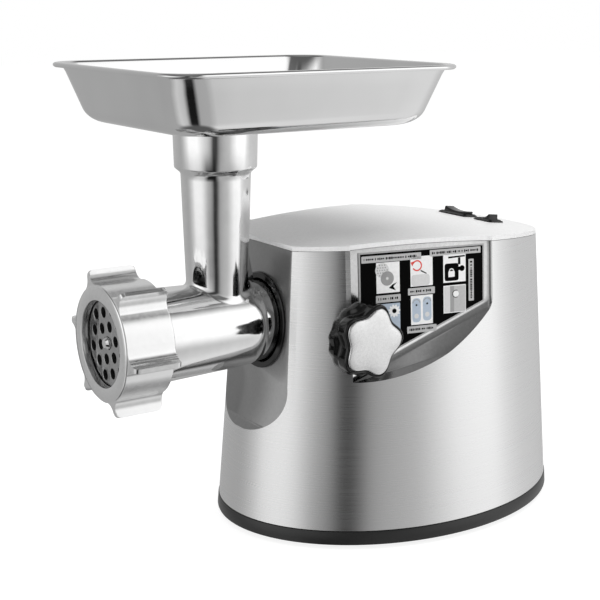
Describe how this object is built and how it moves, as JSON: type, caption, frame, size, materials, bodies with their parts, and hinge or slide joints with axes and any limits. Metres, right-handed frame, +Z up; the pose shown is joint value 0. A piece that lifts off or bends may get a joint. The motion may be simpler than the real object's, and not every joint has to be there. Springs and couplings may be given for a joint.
{
  "type": "electric meat grinder",
  "caption": "Electric meat grinder: oval steel-sided motor housing, slide-in cast grinding head with ring nut and feed tray, star lock knob and two rocker switches.",
  "frame": {"origin": "under the middle of the overall box, on the plane the feet stand on", "axes": "-X is where the ground meat comes out, -Y is the side with the lock knob and the label, +Z is up"},
  "size_m": [0.362, 0.1996, 0.3187],
  "materials": {
    "cast_aluminium": "polished casting",
    "polished_tray": "polished sheet",
    "brushed_side": "vertical light and dark bands, satin",
    "grey_front": "smooth grey satin",
    "silver_plastic": "silver, satin",
    "black_plastic": "glossy black",
    "label_black": "glossy black with white marks",
    "rubber": "matt",
    "gear_steel": "machined",
    "motor_steel": "zinc grey",
    "copper": "copper",
    "bronze": "sintered bronze",
    "magnet": "dark ferrite",
    "board_green": "green laminate"
  },
  "bodies": {
    "housing": {"base": "black_plastic", "housing_shell": "brushed_side", "front_plate": "grey_front", "top_cover": "silver_plastic", "rear_cover": "silver_plastic", "side_panel_near": "silver_plastic", "side_panel_far": "silver_plastic", "label_plate": "label_black", "port_ring": "black_plastic", "on_off_frame": "black_plastic", "reverse_frame": "black_plastic", "gearbox_front": "cast_aluminium", "gearbox_rear": "cast_aluminium", "output_bush": "bronze", "motor_can": "motor_steel", "motor_end_cap": "black_plastic", "magnet_1": "magnet", "magnet_2": "magnet", "brush_1": "magnet", "brush_2": "magnet", "motor_cradle": "black_plastic", "board_bracket": "black_plastic", "circuit_board": "board_green", "capacitor": "motor_steel", "cord_gland": "black_plastic", "foot_1": "rubber", "foot_screw_1": "gear_steel", "foot_2": "rubber", "foot_screw_2": "gear_steel", "foot_3": "rubber", "foot_screw_3": "gear_steel", "foot_4": "rubber", "foot_screw_4": "gear_steel"},
    "rotor": {"motor_shaft": "gear_steel", "rotor_core": "motor_steel", "commutator": "copper", "cooling_fan": "black_plastic"},
    "layshaft_set": {"layshaft": "gear_steel", "lay_gear": "gear_steel"},
    "output": {"output_shaft": "gear_steel", "output_gear": "gear_steel"},
    "head": {"grinding_head": "cast_aluminium", "auger_washer": "black_plastic"},
    "feed_screw": {"auger": "cast_aluminium", "cutting_blade": "gear_steel"},
    "plate": {"cutting_plate": "gear_steel"},
    "nut": {"ring_nut": "cast_aluminium"},
    "feed_tray": {"tray": "polished_tray"},
    "stud": {"lock_stud": "gear_steel"},
    "knob": {"knob_body": "black_plastic", "knob_cap": "silver_plastic"},
    "on_off": {"on_off_rocker": "black_plastic"},
    "reverse": {"reverse_rocker": "black_plastic"}
  },
  "joints": [
    {"name": "head_slide", "type": "slide", "parent": "housing", "child": "head", "axis": [-1, 0, 0], "range_m": [0, 0.045]},
    {"name": "tray_lift", "type": "slide", "parent": "head", "child": "feed_tray", "axis": [0, 0, 1], "range_m": [0, 0.05]},
    {"name": "plate_slide", "type": "slide", "parent": "head", "child": "plate", "axis": [-1, 0, 0], "range_m": [0, 0.018]},
    {"name": "nut_turn", "type": "hinge", "parent": "plate", "child": "nut", "pos_m": [-0.164, 0, 0.1465], "axis": [-1, 0, 0], "range_deg": [0, 1080]},
    {"name": "feed_screw_turn", "type": "hinge", "parent": "head", "child": "feed_screw", "pos_m": [-0.095, 0, 0.1465], "axis": [-1, 0, 0], "continuous": true},
    {"name": "motor_turn", "type": "hinge", "parent": "housing", "child": "rotor", "pos_m": [0.06, 0, 0.0792], "axis": [-1, 0, 0], "continuous": true},
    {"name": "layshaft_turn", "type": "hinge", "parent": "housing", "child": "layshaft_set", "pos_m": [0.01, 0, 0.108], "axis": [-1, 0, 0], "continuous": true},
    {"name": "output_turn", "type": "hinge", "parent": "housing", "child": "output", "pos_m": [0, 0, 0.1465], "axis": [-1, 0, 0], "continuous": true},
    {"name": "stud_slide", "type": "slide", "parent": "housing", "child": "stud", "axis": [0, -1, 0], "range_m": [0, 0.006]},
    {"name": "knob_turn", "type": "hinge", "parent": "stud", "child": "knob", "pos_m": [-0.0345, -0.09, 0.1465], "axis": [0, -1, 0], "range_deg": [0, 1440]},
    {"name": "on_off_rock", "type": "hinge", "parent": "housing", "child": "on_off", "pos_m": [0.13089, 0.0225, 0.19728], "axis": [0.9933, 0, -0.1152], "range_deg": [-16, 0]},
    {"name": "reverse_rock", "type": "hinge", "parent": "housing", "child": "reverse", "pos_m": [0.13089, -0.0123, 0.19728], "axis": [0.9933, 0, -0.1152], "range_deg": [0, 16], "stiffness_Nm_per_rad": 0.02}
  ],
  "couplings": [
    {"joint": "plate_slide", "follows": "nut_turn", "m_per_rad": 0.00095493},
    {"joint": "knob_turn", "follows": "stud_slide", "rad_per_m": 4188.8},
    {"joint": "layshaft_turn", "follows": "motor_turn", "ratio": -0.14286},
    {"joint": "output_turn", "follows": "motor_turn", "ratio": 0.02381},
    {"joint": "feed_screw_turn", "follows": "motor_turn", "ratio": 0.02381}
  ]
}
